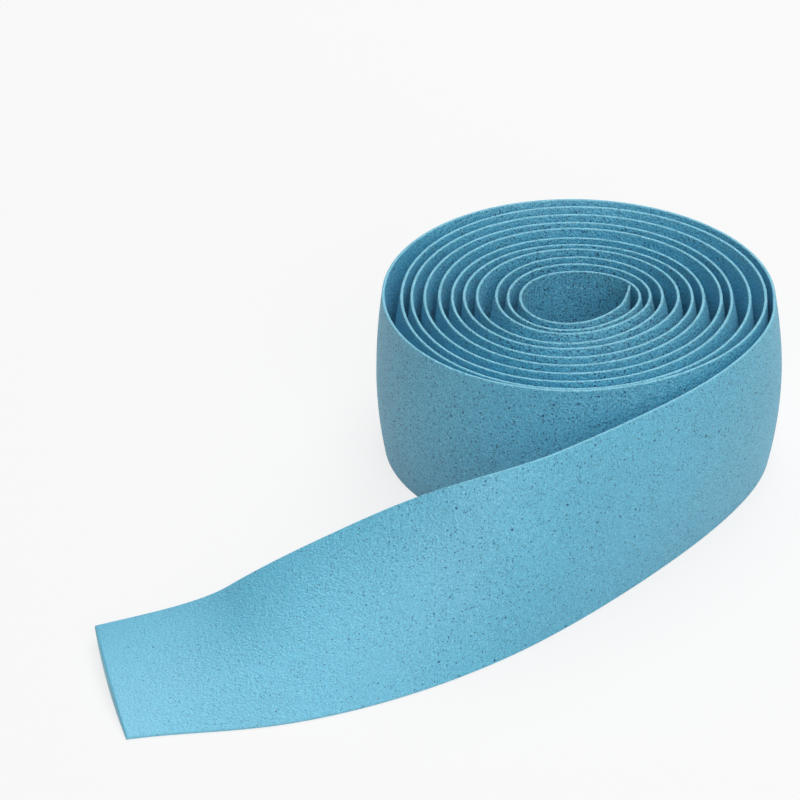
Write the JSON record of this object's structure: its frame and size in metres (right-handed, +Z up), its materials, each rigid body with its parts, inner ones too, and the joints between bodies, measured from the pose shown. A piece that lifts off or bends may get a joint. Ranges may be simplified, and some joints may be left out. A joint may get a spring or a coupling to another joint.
{
  "type": "handlebar tape roll",
  "caption": "Roll of thin foam handlebar tape standing on its edge, with its outer end pulled out as a tail that falls over flat.",
  "frame": {"origin": "centre of the bounding box, on the surface that the lower rim stands on", "axes": "+Z up along the roll's axis and the tape's width, +Y away from the pulled-out tail, +X to the side where the tail leaves the roll"},
  "size_m": [0.1144, 0.1322, 0.03],
  "materials": {
    "foam": "matte, finely pored foam, sky blue"
  },
  "bodies": {
    "root": {"tape_strip": "foam"}
  },
  "joints": []
}
